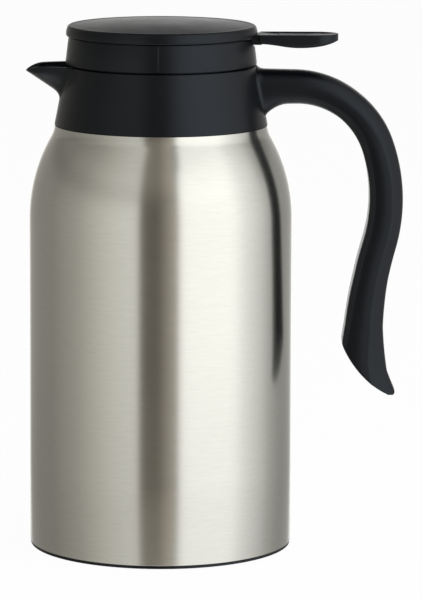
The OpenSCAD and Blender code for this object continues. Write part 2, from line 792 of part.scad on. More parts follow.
module flip_disc() {
  color(black) difference() {
    union() {
      difference() {
        disc_solid(0);
        translate([0, 0, -0.001]) disc_solid(disc_t);
      }
      intersection() {
        disc_solid(0.6);
        disc_bosses(false);
      }
    }
    translate([0, 0, -0.01]) disc_bosses(true);
    block([hinge_x, -barrel_half - seat_gap, disc_z - 1], [far, barrel_half + seat_gap, neck_high_z + seat_gap]);
  }
}

module disc_liner() {
  color(black) difference() {
    union() {
      ring(disc_r - disc_t - 0.6, 0, disc_z, disc_z + liner_t);
      ring(liner_r, liner_r - 1.5, disc_z - 1.6, disc_z + 0.2);
      for (s = [-1, 1]) {
        block([-3, s * (fork_in + fork_t / 2) - fork_t / 2, peg_z - 1.6],
          [3, s * (fork_in + fork_t / 2) + fork_t / 2, disc_z + 0.2]);
        translate([0, s * (fork_in + stem_r + peg_r + gap) / 2, 0])
          cross_rod(0, peg_z, peg_r, fork_in - stem_r - peg_r - gap + 1.2);
      }
    }
    block([tongue_x - gap, -tongue_half - gap, disc_z - 1], [far, tongue_half + gap, far]);
    block([hinge_x - ear_r - 1, -ear_half - gap, disc_z - 3], [far, ear_half + gap, far]);
    for (s = [-1, 1]) translate([-disc_boss_x, disc_boss_y * s, disc_z - 1]) cylinder(r = screw_r + 0.2, h = 4, $fn = 32);
  }
}

module disc_screws() {
  color(bright) for (p = disc_boss_places) translate([p[0], p[1], disc_z]) screw(disc_screw_l);
}

// Underside of the paddle: level at the root, down to the belly and up to the rounded tip.
belly_x = hinge_x + belly_run;
lever_low = lever_top_z - lever_belly;
lever_root_low = neck_low_z + 0.5;
lever_tip_low = lever_top_z - 1.9;
function lever_under(x) = x < belly_x
  ? lever_low + (lever_root_low - lever_low) * (1 + cos(180 * (x - lever_root_x) / (belly_x - lever_root_x))) / 2
  : lever_low + (lever_tip_low - lever_low) * (1 - cos(150 * (x - belly_x) / (lever_reach - belly_x))) / 1.866;

module thumb_lever() {
  steps = 22;
  tip_r = lever_w / 2;
  dish_r = 330;
  dish_depth = 0.5;
  color(black) difference() {
    union() {
      intersection() {
        rotate([90, 0, 0]) linear_extrude(far, center = true) polygon(concat(
          [[lever_root_x, lever_top_z]],
          [for (i = [0:steps]) let (x = lever_root_x + (lever_reach - lever_root_x) * i / steps)
            [x, lever_under(x)]],
          [[lever_reach, lever_top_z]]
        ));
        union() {
          block([lever_root_x, -tip_r, 0], [lever_reach - tip_r, tip_r, far]);
          translate([lever_reach - tip_r, 0, 0]) cylinder(r = tip_r, h = far);
        }
      }
      cross_rod(hinge_x, hinge_z, barrel_r, 2 * barrel_half);
      block([hinge_x - 1, -barrel_half, neck_low_z], [lever_root_x + 1, barrel_half, neck_high_z]);
      block([tongue_x, -tongue_half, disc_z], [hinge_x, tongue_half, disc_z + tongue_t]);
    }
    cross_rod(hinge_x, hinge_z, pin_r + 0.02, far);
    cross_rod((lever_root_x + lever_reach) / 2, lever_top_z + dish_r - dish_depth, dish_r, lever_w - 3, $fn = 720);
    for (x = [18, 31]) translate([x, 0, disc_z - 1]) cylinder(r = screw_r + 0.2, h = 4, $fn = 32);
  }
}

// ---------------------------------------------------------------- valve

module valve_stem() {
  foot = plate_z - 0.8;
  color(bright) difference() {
    union() {
      ring(stem_r, 0, hub_z, head_z + head_h - 0.5);
      ring(stem_r - 0.8, 0, foot - 2.2, hub_z);
    }
    ring(far, stem_r - 1.3, foot - 1.3, foot - 0.6);
  }
}

module stem_head() {
  color(black) difference() {
    union() {
      ring(head_r, 0, head_z, head_z + head_h);
      ring(stem_r + 0.9, 0, head_z - 0.001, head_z + 0.5);
    }
    ring(stem_r, 0, head_z - 1, head_z + head_h - 0.5);
  }
}

module valve_plate() {
  color(black) difference() {
    union() {
      ring(valve_r, 0, plate_z, plate_z + plate_t);
      ring(hub_r, 0, plate_z - 0.8, hub_z);
      ring(valve_r - 3.6, 0, plate_z - 0.8, plate_z + 0.1);
    }
    ring(stem_r - 0.8, 0, plate_z - 3, hub_z + 1);
  }
}

module valve_seal() {
  color(silicone) ring(valve_r + 0.4, valve_r - 3.6, valve_z, plate_z);
}

module valve_clip() {
  foot = plate_z - 0.8;
  color(bright) difference() {
    ring(stem_r + 1, stem_r - 1.3, foot - 1.3, foot - 0.6);
    block([0, -1, foot - 3], [far, 1, foot]);
  }
}

// Centre line of the spring: straight ends, then curls about the axis.
spring_low = hub_z + wire_d / 2;
spring_high = ring_z - wire_d / 2;
per_curl = 8;
flat_share = 0.75;
function spring_z(u) = let (
  rise = spring_high - spring_low - 2 * wire_d * 0.7,
  low = spring_low + wire_d * 0.7 * min(1, u / flat_share),
  top = wire_d * 0.7 * max(0, (u - curls + flat_share) / flat_share)
) low + rise * min(1, max(0, (u - flat_share) / (curls - 2 * flat_share))) + top;
function spring_point(u) = [spring_r * cos(360 * u), spring_r * sin(360 * u), spring_z(u)];
spring_pts = [for (i = [0:curls * per_curl]) spring_point(i / per_curl)];
spring_gap = min([for (i = [0:(curls - 1) * per_curl]) norm(spring_pts[i + per_curl] - spring_pts[i])]) - wire_d;
echo(spring_gap = spring_gap);

module valve_spring() {
  n = len(spring_pts);
  sides = 6;
  function along(i) = let (d = spring_pts[min(n - 1, i + 1)] - spring_pts[max(0, i - 1)]) d / norm(d);
  color(bright) skin([for (i = [0:n - 1]) let (
      t = along(i),
      out = [spring_pts[i][0], spring_pts[i][1], 0] / spring_r,
      side = out - t * (out * t),
      u = side / norm(side),
      v = cross(t, u)
    ) [for (j = [0:sides - 1]) let (a = 60 * j) spring_pts[i] + wire_d / 2 * (u * cos(a) + v * sin(a))]]);
}

outer_shell();
inner_flask();
bottom_plate();
vacuum_seal();
getter_cup();
getter_pellet();
base_cover();
foot_ring();
collar();
collar_gasket();
neck_clip();
handle_shell();
handle_liner();
handle_screws();
stopper_gasket();
stopper_body();
lid_ring();
lid_screws();
stem_guide();
stem_washer();
hinge_pin();
flip_disc();
disc_liner();
disc_screws();
thumb_lever();
valve_stem();
stem_head();
valve_plate();
valve_seal();
valve_clip();
valve_spring();
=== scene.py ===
"""Vacuum carafe with a rocking flip lid: the looks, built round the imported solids.

Lengths are written in millimetres, as in the part's source, and made metres by MM. The carafe stands on
z = 0 with its axis upright, its spout to -X and its handle to +X.
"""
import json
import math

import bmesh
import bpy
from mathutils import Matrix, Vector


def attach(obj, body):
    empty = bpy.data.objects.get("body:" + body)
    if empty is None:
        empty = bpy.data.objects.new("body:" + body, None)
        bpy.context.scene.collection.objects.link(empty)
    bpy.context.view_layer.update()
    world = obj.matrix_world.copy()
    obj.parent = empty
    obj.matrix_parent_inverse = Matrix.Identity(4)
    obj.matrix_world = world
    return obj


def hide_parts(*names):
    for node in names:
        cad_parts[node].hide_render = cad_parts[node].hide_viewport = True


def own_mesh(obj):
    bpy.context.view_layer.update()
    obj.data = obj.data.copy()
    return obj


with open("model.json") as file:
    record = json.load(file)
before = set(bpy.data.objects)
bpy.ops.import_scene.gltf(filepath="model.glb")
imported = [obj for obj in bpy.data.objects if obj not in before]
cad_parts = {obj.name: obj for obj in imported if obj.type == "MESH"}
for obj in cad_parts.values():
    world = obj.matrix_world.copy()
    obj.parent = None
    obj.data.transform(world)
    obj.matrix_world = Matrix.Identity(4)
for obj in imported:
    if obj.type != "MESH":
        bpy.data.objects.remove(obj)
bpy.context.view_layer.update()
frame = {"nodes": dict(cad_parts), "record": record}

MM = 0.001
TURN = 2 * math.pi
MERGE = 0.0005  # points nearer to each other than this become one
ORIGIN = (0, 0, 0)
UP = (0, 0, 1)

# ------------------------------------------------------------------ sizes, by the part they belong to

BODY_R = 62.49
BAND_Z = 2.0
SHOULDER_Z = 157.5
SHOULDER_END_Z = 197.1
SHOULDER_FLARE = 1.55
STEEL_T = 0.8
NECK_R = 37.0
NECK_Z = 205.0
NECK_TOP_Z = 209.2

COLLAR_Z = 202.1
COLLAR_FOOT_R = 50.5
COLLAR_TOP_Z = 230.4
COLLAR_TOP_R = 45.0
COLLAR_SLOPE = (COLLAR_FOOT_R - COLLAR_TOP_R) / (COLLAR_TOP_Z - COLLAR_Z)
STEEL_EDGE_R = COLLAR_FOOT_R - 0.1
SHOULDER_END_R = STEEL_EDGE_R + SHOULDER_FLARE
BORE_R = 38.0
REBATE_R = 41.8
SHELF_Z = 213.4
SHELF_T = 2
SHELF_R = 34.8
SKIRT_R = 38.1

SPOUT_REACH = 64.1
SPOUT_KEEL_X = 49.8
SPOUT_KEEL_Z = 218.1
SPOUT_KEEL_HALF_W = 5.4
SPOUT_TIP_Z = 227.7
SPOUT_HALF_W = 15.0
SPOUT_BASE_X = 39.0
SPOUT_T = 1.8
SPOUT_NOSE_T = 1.4
CHANNEL_LIFT = 2.17
SPOUT_RIM_X = SPOUT_REACH - 8.1
SPOUT_RIM_R = 14
KEEL_RISE = (SPOUT_TIP_Z - SPOUT_KEEL_Z) / (SPOUT_REACH - SPOUT_KEEL_X)

RING_Z = 231.2
RING_TOP_Z = 241.2
RING_LIP_Z = 244.0
RING_FOOT_R = 45.3
RING_TOP_R = 44.1
RING_BORE_R = 42.3
NOTCH_HALF_W = 7.95
SEAM_AT = -91.4
SEAM_PROUD = 0.05
DECK_Z = 233.2
DECK_HOLE_R = 5.7

DISC_Z = 243.2
DISC_R = 45.3
DISC_X = 0.3
DISC_LOW_Z = 244.3
DISC_SIDE_Z = 249.0
DISC_CROWN_Z = 250.7
DISC_EDGE_R = 1.4

HINGE_X = 40.0
HINGE_Z = 241.2
EAR_Y = 9.3
EAR_T = 3
EAR_R = 1.9
BARREL_R = 2.1
BARREL_W = 15
LEVER_ROOT = DISC_X + DISC_R + 0.8
LEVER_BELLY = HINGE_X + 25
LEVER_REACH = 83.6
LEVER_TOP_Z = 245.5
LEVER_W = 19.0
LEVER_DISH = 0.5
LEVER_DISH_HALF = 18.2
LEVER_NECK_HALF_W = 6.3
TONGUE_X = 12
TONGUE_HALF_W = 6.6
TONGUE_T = 2

SPRING_R = 6.2
WIRE_R = 0.5
CURLS = 6
SPRING_LOW = 211.5
SPRING_HIGH = 230.7


def collar_r(z):
    """Radius of the collar's sloping wall at a height."""
    return COLLAR_TOP_R + COLLAR_SLOPE * (COLLAR_TOP_Z - z)


def clamp(value, low=0.0, high=1.0):
    return max(low, min(high, value))


def smooth(value, low, high):
    """Rises from 0 at low to 1 at high, level at both ends."""
    t = clamp((value - low) / (high - low))
    return t * t * (3 - 2 * t)


def mix(a, b, t):
    return a + (b - a) * t


def bend(a, b, c, t):
    """A point at the share t of the curve from a to c that is drawn towards b."""
    return (1 - t) ** 2 * a + 2 * t * (1 - t) * b + t * t * c


def lookup(value, table):
    """Reads a table of (place, value), with straight runs between its rows."""
    for (x0, y0), (x1, y1) in zip(table, table[1:]):
        if value <= x1:
            return mix(y0, y1, clamp((value - x0) / (x1 - x0)))
    return table[-1][1]


def soft_max(a, b, width):
    """The larger of two lengths, rounded over where they meet."""
    h = max(width - abs(a - b), 0) / width
    return max(a, b) + h * h * width / 4


# ------------------------------------------------------------------ finishes


class Value:
    """A number or colour that changes over a surface. Arithmetic on it adds Math nodes."""

    def __init__(self, tree, socket):
        self.tree = tree
        self.socket = socket

    def math(self, operation, *values):
        return node(self.tree, "Math", {"operation": operation}, dict(enumerate(values)))

    def __add__(self, other):
        return self.math("ADD", self, other)

    def __sub__(self, other):
        return self.math("SUBTRACT", self, other)

    def __rsub__(self, other):
        return self.math("SUBTRACT", other, self)

    def __mul__(self, other):
        return self.math("MULTIPLY", self, other)

    def clamped(self):
        return node(self.tree, "Clamp", {}, {"Value": self})

    __radd__ = __add__
    __rmul__ = __mul__


def node(tree, kind, settings, sockets, output=0):
    """Adds one shader node: its settings first, then the values or links of its sockets."""
    made = tree.nodes.new("ShaderNode" + kind)
    for name, value in settings.items():
        setattr(made, name, value)
    for name, value in sockets.items():
        socket = made.inputs[name]
        if isinstance(value, Value):
            tree.links.new(value.socket, socket)
        elif isinstance(value, tuple) and socket.type == "RGBA":
            socket.default_value = (*value, 1)
        else:
            socket.default_value = value
    return Value(tree, made.outputs[output]) if len(made.outputs) else None


def new_finish(name):
    material = bpy.data.materials.new(name)
    material.use_nodes = True
    material.node_tree.nodes.clear()
    return material, material.node_tree


def close_finish(tree, **sockets):
    """Ends a finish in a shader. The sockets are named with _ for a space."""
    shader = node(tree, "BsdfPrincipled", {}, {k.replace("_", " "): v for k, v in sockets.items()})
    node(tree, "OutputMaterial", {}, {"Surface": shader})


def noise(tree, scale, detail=2.0, rough=0.5):
    """Noise on the piece's own place, with its scale in features per metre along x, y and z."""
    place = node(tree, "TexCoord", {}, {}, "Object")
    mapped = node(tree, "Mapping", {}, {"Vector": place, "Scale": scale})
    return node(tree, "TexNoise", {}, {"Vector": mapped, "Scale": 1.0, "Detail": detail, "Roughness": rough})


def blend_colour(tree, share, a, b):
    """A colour between a and b. The Mix node's colour sockets have names in common, so they go by number."""
    return node(tree, "Mix", {"data_type": "RGBA", "clamp_factor": True}, {0: share, 6: a, 7: b}, 2)


def bump(tree, strength, distance, height):
    return node(tree, "Bump", {}, {"Strength": strength, "Distance": distance, "Height": height})


def brushed_steel():
    """Sheet steel, brushed round the body in fine level lines, a little uneven from place to place."""
    material, tree = new_finish("brushed_shell")
    fine = noise(tree, (170, 170, 4200), 3.0, 0.6)
    middle = noise(tree, (80, 80, 1300), 3.0, 0.6)
    cloud = noise(tree, (16, 16, 12), 3.0, 0.55)
    streak = (fine - 0.5) * 0.9 + (middle - 0.5) * 0.36
    share = (0.5 + streak * 0.8 + (cloud - 0.5) * 0.3).clamped()
    close_finish(
        tree,
        Base_Color=blend_colour(tree, share, (0.545, 0.543, 0.495), (0.680, 0.678, 0.630)),
        Metallic=1.0,
        Roughness=0.20 + streak * 0.06 + (cloud - 0.5) * 0.05,
        Normal=bump(tree, 0.06, 0.00003, fine * 0.6 + middle * 0.4),
        Anisotropic=0.5,
        Anisotropic_Rotation=0.25,
    )
    return material


def plain_steel(name, tone, rough, uneven):
    """Bare metal with a drawn grain, as uneven in colour and roughness as the part calls for."""
    material, tree = new_finish(name)
    cloud = noise(tree, (120, 120, 120), 3.0, 0.5)
    grain = noise(tree, (900, 900, 2600), 2.0, 0.6)
    close_finish(
        tree,
        Base_Color=blend_colour(tree, cloud, tuple(c * (1 - uneven) for c in tone), tone),
        Metallic=1.0,
        Roughness=rough + (grain - 0.5) * uneven,
        Normal=bump(tree, uneven, 0.00003, grain),
    )
    return material


def moulded(name, dark, light, rough, level, grain=0.10, tint=(1.0, 1.0, 1.0)):
    """Moulded plastic or silicone: a fine spark-eroded grain, faint flow clouds and rubbed places."""
    material, tree = new_finish(name)
    cloud = noise(tree, (34, 34, 26), 3.0, 0.55)
    rubbed = noise(tree, (210, 210, 210), 3.0, 0.6)
    fine = noise(tree, (5200, 5200, 5200), 2.0, 0.6)
    share = (0.5 + (cloud - 0.5) * 1.4 + (rubbed - 0.5) * 0.5).clamped()
    close_finish(
        tree,
        Base_Color=blend_colour(tree, share, dark, light),
        Roughness=rough + (cloud - 0.5) * 0.10 + (rubbed - 0.5) * 0.07 + (fine - 0.5) * 0.10,
        Normal=bump(tree, grain, 0.00006, fine + rubbed * 0.4),
        Specular_IOR_Level=level,
        Specular_Tint=tint,
    )
    return material


PLASTIC_DARK, PLASTIC_LIGHT = (0.0013, 0.0013, 0.0019), (0.0025, 0.0026, 0.0036)
PLASTIC_SHEEN = (0.80, 0.90, 1.0)

finishes = {
    "brushed_shell": brushed_steel(),
    "flask_steel": plain_steel("flask_steel", (0.72, 0.72, 0.715), 0.26, 0.05),
    "small_steel": plain_steel("small_steel", (0.66, 0.66, 0.65), 0.22, 0.10),
    "spring_wire": plain_steel("spring_wire", (0.60, 0.60, 0.59), 0.24, 0.10),
    "getter_metal": plain_steel("getter_metal", (0.33, 0.33, 0.35), 0.55, 0.16),
    "black_plastic": moulded("black_plastic", PLASTIC_DARK, PLASTIC_LIGHT, 0.33, 0.31, tint=PLASTIC_SHEEN),
    "pale_silicone": moulded("pale_silicone", (0.70, 0.70, 0.66), (0.78, 0.78, 0.74), 0.55, 0.4, 0.06),
    "foot_rubber": moulded("foot_rubber", (0.018, 0.018, 0.019), (0.028, 0.028, 0.029), 0.72, 0.3, 0.2),
}

slots = {s["node"]: s["material_slot"] for s in frame["record"]["subparts"]}
for name, solid in frame["nodes"].items():
    solid.data.materials.clear()
    solid.data.materials.append(finishes[slots[name]])

# ------------------------------------------------------------------ making pieces


def put_in_scene(name, data):
    made = bpy.data.objects.new(name, data)
    bpy.context.scene.collection.objects.link(made)
    return made


def mesh_of(name, bm):
    mesh = bpy.data.meshes.new(name)
    bm.to_mesh(mesh)
    bm.free()
    return mesh


def add_piece(name, bm, slot, body, *nodes, sharp=38):
    """Closes a mesh, makes it a piece in metres, and says what it rides on and stands for."""
    bmesh.ops.remove_doubles(bm, verts=bm.verts, dist=MERGE)
    bmesh.ops.recalc_face_normals(bm, faces=bm.faces)
    bmesh.ops.scale(bm, vec=(MM, MM, MM), verts=bm.verts)
    mesh = mesh_of(name, bm)
    mesh.polygons.foreach_set("use_smooth", [True] * len(mesh.polygons))
    mesh.set_sharp_from_angle(angle=math.radians(sharp))
    mesh.materials.append(finishes[slot])
    piece = put_in_scene(name, mesh)
    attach(piece, body)
    if nodes:
        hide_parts(*nodes)
    return piece


def arc(centre, radius, start, end, steps):
    """Points (r, z) round an arc, with angles in degrees from the outward direction."""
    angles = [math.radians(mix(start, end, i / steps)) for i in range(steps + 1)]
    return [(centre[0] + radius * math.cos(a), centre[1] + radius * math.sin(a)) for a in angles]


def spin_up(bm, column, edges, steps, centre_x=0.0):
    """Spins a line of edges once round the upright line through centre_x."""
    axle = (centre_x, 0, 0)
    bmesh.ops.spin(bm, geom=column + edges, cent=axle, axis=UP, angle=TURN, steps=steps, use_merge=True)


def spun(outline, steps=192, centre_x=0.0, closed=True):
    """Spins an outline of points (r, z) round the upright line through centre_x."""
    bm = bmesh.new()
    corners = [bm.verts.new((centre_x + r, 0, z)) for r, z in outline]
    edges = [bm.edges.new(pair) for pair in zip(corners, corners[1:])]
    if closed:
        edges.append(bm.edges.new((corners[-1], corners[0])))
    spin_up(bm, corners, edges, steps, centre_x)
    bmesh.ops.remove_doubles(bm, verts=bm.verts, dist=MERGE)
    return bm


def loft(sections, caps=True):
    """Bridges closed sections, each a list of points with the same count, into a skin."""
    bm = bmesh.new()
    rings, loops = [], []
    for section in sections:
        made = bmesh.ops.create_circle(bm, cap_ends=False, radius=1, segments=len(section))["verts"]
        for vert, place in zip(made, section):
            vert.co = place
        rings.append(made)
        loops.append(list({e for v in made for e in v.link_edges}))
    for a, b in zip(loops, loops[1:]):
        bmesh.ops.bridge_loops(bm, edges=a + b)
    if caps:
        bmesh.ops.holes_fill(bm, edges=loops[0] + loops[-1])
    return bm, rings


def lathe(outline, psis):
    """Turns an outline round the axis where it changes with the angle: outline(psi) gives points (r, z)."""
    columns = [[(r * math.cos(psi), r * math.sin(psi), z) for r, z in outline(psi)] for psi in psis]
    rings = list(zip(*columns))
    return loft(rings + rings[:1], caps=False)[0]


def rounded(corners, steps=4, runs=0):
    """A closed outline with rounded corners (x, y, radius) and extra points on the runs between them."""
    groups = []
    for i, (x, y, radius) in enumerate(corners):
        here = Vector((x, y))
        if radius <= 0:
            groups.append([here])
            continue
        before = Vector(corners[i - 1][:2]) - here
        after = Vector(corners[(i + 1) % len(corners)][:2]) - here
        cut = min(radius / math.tan(before.angle(after) / 2), before.length * 0.49, after.length * 0.49)
        a, b = here + before.normalized() * cut, here + after.normalized() * cut
        groups.append([bend(a, here, b, k / steps) for k in range(steps + 1)])
    points = []
    for group, following in zip(groups, groups[1:] + groups[:1]):
        points += group + [group[-1].lerp(following[0], k / (runs + 1)) for k in range(1, runs + 1)]
    return points


def mirrored(side):
    """Adds to one side's corners (across, out, radius) those of the other side, in reverse."""
    return side + [(-across, out, radius) for across, out, radius in reversed(side)]


def add_block(bm, low, high):
    """Adds a block between two opposite corners."""
    made = bmesh.ops.create_cube(bm, size=1)["verts"]
    bmesh.ops.scale(bm, vec=[b - a for a, b in zip(low, high)], verts=made)
    bmesh.ops.translate(bm, vec=[(a + b) / 2 for a, b in zip(low, high)], verts=made)


def add_hinge_rod(bm, y, radius, length):
    """Adds a round rod on the hinge's line, with its middle at y."""
    made = bmesh.ops.create_cone(
        bm, cap_ends=True, segments=40, radius1=radius, radius2=radius, depth=length
    )["verts"]
    bmesh.ops.rotate(bm, cent=ORIGIN, matrix=Matrix.Rotation(math.pi / 2, 3, "X"), verts=made)
    bmesh.ops.translate(bm, vec=(HINGE_X, y, HINGE_Z), verts=made)


# ------------------------------------------------------------------ steel body and base


def shoulder_line():
    """The steel wall from the straight side up to the collar: rounded, then eased into the slope."""
    rise = SHOULDER_END_Z - SHOULDER_Z
    angle = 2 * math.atan((BODY_R - SHOULDER_END_R) / rise)
    radius = rise / math.sin(angle)
    line = arc((BODY_R - radius, SHOULDER_Z), radius, 0, math.degrees(angle), 56)
    gap = SHOULDER_FLARE - COLLAR_SLOPE * (COLLAR_Z - SHOULDER_END_Z)
    ease = gap / (math.tan(angle) - COLLAR_SLOPE)
    start = Vector(line[-1])
    middle = Vector((SHOULDER_END_R - ease * math.tan(angle), SHOULDER_END_Z + ease))
    end = Vector((STEEL_EDGE_R + COLLAR_SLOPE * STEEL_T, COLLAR_Z - STEEL_T))
    return line + [tuple(bend(start, middle, end, i / 8)) for i in range(1, 9)]


def make_body_shell():
    """The outer wall: foot edge, straight side, shoulder, top edge and neck, then back down inside."""
    wall = [(BODY_R - 0.35, BAND_Z), (BODY_R - 0.1, BAND_Z + 0.12), (BODY_R, BAND_Z + 0.4)]
    wall += [(BODY_R, z) for z in (40, 80, 120)] + shoulder_line()
    wall += [(STEEL_EDGE_R, COLLAR_Z - 0.05), (STEEL_EDGE_R - 2.3, COLLAR_Z)]
    wall += [(STEEL_EDGE_R - 2.7, COLLAR_Z + 0.6), (NECK_R + 3, NECK_Z - 1.4)]
    wall += [(NECK_R, NECK_Z), (NECK_R, NECK_TOP_Z)]
    inner = []
    for r, z in reversed(wall):
        thin = 0.2 if z < BAND_Z + 1 else 1.0
        inner.append((r - STEEL_T * thin, z - (0.0 if z < SHOULDER_Z else 0.4)))
    add_piece("body_shell", spun(wall + inner, 256), "brushed_shell", "carafe", "outer_shell")


def make_base_trim():
    """The base cover, with the thin band at the foot and the wall that reaches up inside the steel."""
    outline = [
        (0, 1.0), (55, 1.0), (60.8, 0.5), (61.9, 0.52), (62.15, 0.7), (62.3, 1.75), (62.2, 2.0), (61.7, 2.0),
        (61.7, 9.0), (59.7, 9.0), (59.7, 2.1), (0, 2.1),
    ]
    add_piece("base_trim", spun(outline, closed=False), "black_plastic", "carafe", "base_cover")


# ------------------------------------------------------------------ collar and spout


def spout_section(psi, nose, half, base):
    """How far out the spout's level section lies on a ray at psi from the spout's middle line.

    The section has straight sides, half apart from the middle line, out to base, and a full nose.
    """
    psi = abs(psi)
    if psi >= math.atan2(half, base):
        return half / math.sin(min(psi, math.pi / 2))
    low, high = 0.0, math.pi / 2
    for _ in range(26):
        a = (low + high) / 2
        x, y = base + (nose - base) * math.cos(a) ** 0.8, half * math.sin(a)
        low, high = (a, high) if math.atan2(y, x) < psi else (low, a)
    return math.hypot(x, y)


def keel_reach(z, lift=0.0):
    """How far the spout's keel reaches at a height, or one that lies higher than it by lift."""
    return SPOUT_KEEL_X + (z - SPOUT_KEEL_Z - lift) / KEEL_RISE


def collar_outside(psi, z):
    """Radius of the collar and spout, with psi from the spout's middle line."""
    nose = min(SPOUT_REACH, keel_reach(z))
    half = mix(SPOUT_KEEL_HALF_W, SPOUT_HALF_W, smooth(z, SPOUT_KEEL_Z - 6, COLLAR_TOP_Z + 1))
    spout = spout_section(psi, nose, half, min(SPOUT_BASE_X, nose - 0.5))
    blend = 4.4 + 12 * smooth(abs(math.degrees(psi)), 0, 23)  # sharper at the keel than at its sides
    return soft_max(collar_r(z), spout, blend)


def collar_inside(psi, z, bore):
    """Radius of the bore and the spout's channel."""
    nose = min(SPOUT_REACH - SPOUT_NOSE_T, keel_reach(z, CHANNEL_LIFT))
    if nose < bore:
        return bore
    open_share = smooth(z, SPOUT_KEEL_Z - 1.5, COLLAR_TOP_Z + 1)
    half = mix(SPOUT_KEEL_HALF_W - 0.4, SPOUT_HALF_W - SPOUT_T, open_share)
    return soft_max(bore, spout_section(psi, nose, half, SPOUT_BASE_X - SPOUT_T), 2.0)


def rim_over(psi):
    """Height of the rim: level, then rounded down towards the spout's tip."""
    z = COLLAR_TOP_Z
    for _ in range(8):  # the reach depends on the height, so the two settle together
        over = collar_outside(psi, z) * max(math.cos(psi), 0) - SPOUT_RIM_X
        drop = SPOUT_RIM_R - math.sqrt(max(SPOUT_RIM_R ** 2 - over ** 2, 0)) if over > 0 else 0
        z = COLLAR_TOP_Z - drop
    return z


def channel_foot(psi, rim):
    """Height at which the spout's channel leaves the bore, or a little under the rim where it doesn't."""
    low, high = SHELF_Z + 1, rim - 2.2
    for _ in range(20):
        z = (low + high) / 2
        low, high = (low, z) if collar_inside(psi, z, BORE_R) > BORE_R + 0.02 else (z, high)
    return high


OUTSIDE_LEVELS = (
    0.10, 0.2, 0.3, 0.36, 0.42, 0.47, 0.51, 0.54, 0.57, 0.6, 0.63, 0.66, 0.7, 0.74, 0.78, 0.82, 0.86, 0.9,
    0.94, 0.975, 1.0,
)
CHANNEL_LEVELS = (1.0, 0.88, 0.76, 0.64, 0.52, 0.4, 0.3, 0.2, 0.1, 0.04, 0.0)


def make_collar():
    """The collar in rings: up its outside, over the rim, down channel and bore, and in under the shelf."""
    steps = 320
    psis = [u - 0.5 * math.sin(u) for u in (TURN * i / steps - math.pi for i in range(steps))]
    rims = [rim_over(psi) for psi in psis]
    feet = [channel_foot(psi, rim) for psi, rim in zip(psis, rims)]
    rings = []

    def ring(height, reach):
        """Adds a ring: its height comes from the rim and the channel's foot, its radius from reach."""
        made = []
        for psi, rim, foot in zip(psis, rims, feet):
            z = height(rim, foot)
            r = reach(psi, z)
            made.append((-r * math.cos(psi), -r * math.sin(psi), z))
        rings.append(made)

    def round_ring(z, r):
        ring(lambda rim, foot: z, lambda psi, _: r)

    def outside(inwards):
        return lambda psi, z: collar_outside(psi, z) - inwards

    def inside(bore, wall):
        """Follows the bore and the channel, and leaves at least this much wall."""
        return lambda psi, z: min(collar_inside(psi, z, bore), collar_outside(psi, z) - wall)

    round_ring(COLLAR_Z + 0.25, 48.4)
    round_ring(COLLAR_Z, 48.6)
    round_ring(COLLAR_Z, collar_r(COLLAR_Z) - 0.25)
    round_ring(COLLAR_Z + 0.25, collar_r(COLLAR_Z + 0.25))
    for level in OUTSIDE_LEVELS:
        ring(lambda rim, foot, level=level: mix(COLLAR_Z, rim - 0.35, level), outside(0))
    ring(lambda rim, foot: rim - 0.10, outside(0.10))
    ring(lambda rim, foot: rim, outside(0.38))
    ring(lambda rim, foot: rim, lambda psi, z: collar_inside(psi, z, REBATE_R) + 0.25)
    for drop, wall in ((0.25, 0.5), (0.7, 1), (1.2, 1)):
        ring(lambda rim, foot, drop=drop: rim - drop, inside(REBATE_R, wall))
    for level in CHANNEL_LEVELS:
        ring(lambda rim, foot, level=level: mix(foot, rim - 1.2, level), inside(BORE_R, 1.2))
    for level in (0.5, 0.0):
        ring(lambda rim, foot, level=level: mix(SHELF_Z, foot, level), lambda psi, z: BORE_R)
    round_ring(SHELF_Z, SHELF_R)
    round_ring(SHELF_Z - SHELF_T, SHELF_R)
    round_ring(SHELF_Z - SHELF_T, SKIRT_R)
    round_ring(205.8, SKIRT_R)
    round_ring(204.6, SKIRT_R + 3.4)
    bm, _ = loft(rings + rings[:1], caps=False)
    add_piece("collar_moulding", bm, "black_plastic", "carafe", "collar", sharp=42)


def make_bore_thread():
    """The four short ridges in the bore that carry the stopper, each a stretch of the thread."""
    steps, arc_degrees, middle_degrees, lead, start_z = 22, 44, 45, 24, 222.4
    crest_r, crest_half, edge_half, root_half = 36.5, 0.5, 0.68, 1.05
    root_r = BORE_R + 0.3
    sections = []
    for i in range(steps + 1):
        share = i / steps
        angle = math.radians(middle_degrees + arc_degrees * (share - 0.5))
        z = start_z + lead * arc_degrees / 360 * share
        crest = mix(BORE_R - 0.1, crest_r, smooth(min(share, 1 - share), 0, 0.1))
        half = [(root_r, root_half), (crest + 0.2, edge_half), (crest, crest_half)]
        profile = [(r, -up) for r, up in half] + half[::-1]
        sections.append([(r * math.cos(angle), r * math.sin(angle), z + up) for r, up in profile])
    bm, _ = loft(sections)
    ridge = bm.verts[:] + bm.edges[:] + bm.faces[:]
    bmesh.ops.spin(bm, geom=ridge, cent=ORIGIN, axis=UP, angle=TURN * 3 / 4, steps=3, use_duplicate=True)
    add_piece("bore_thread", bm, "black_plastic", "carafe")


# ------------------------------------------------------------------ handle

HANDLE_Z = 220.4
HANDLE_X = collar_r(HANDLE_Z) - 0.95
HANDLE_RUN = 17.6
GRIP_T = 16.2
GRIP_W = 21.0
BENDS = ((41.3, 71.4, 1), (79.0, 34.7, 1), (189.0, 22.4, -1))  # radius, degrees, and the way it turns
BEND_LENGTHS = [radius * math.radians(degrees) for radius, degrees, _ in BENDS]
HANDLE_LEN = HANDLE_RUN + sum(BEND_LENGTHS)

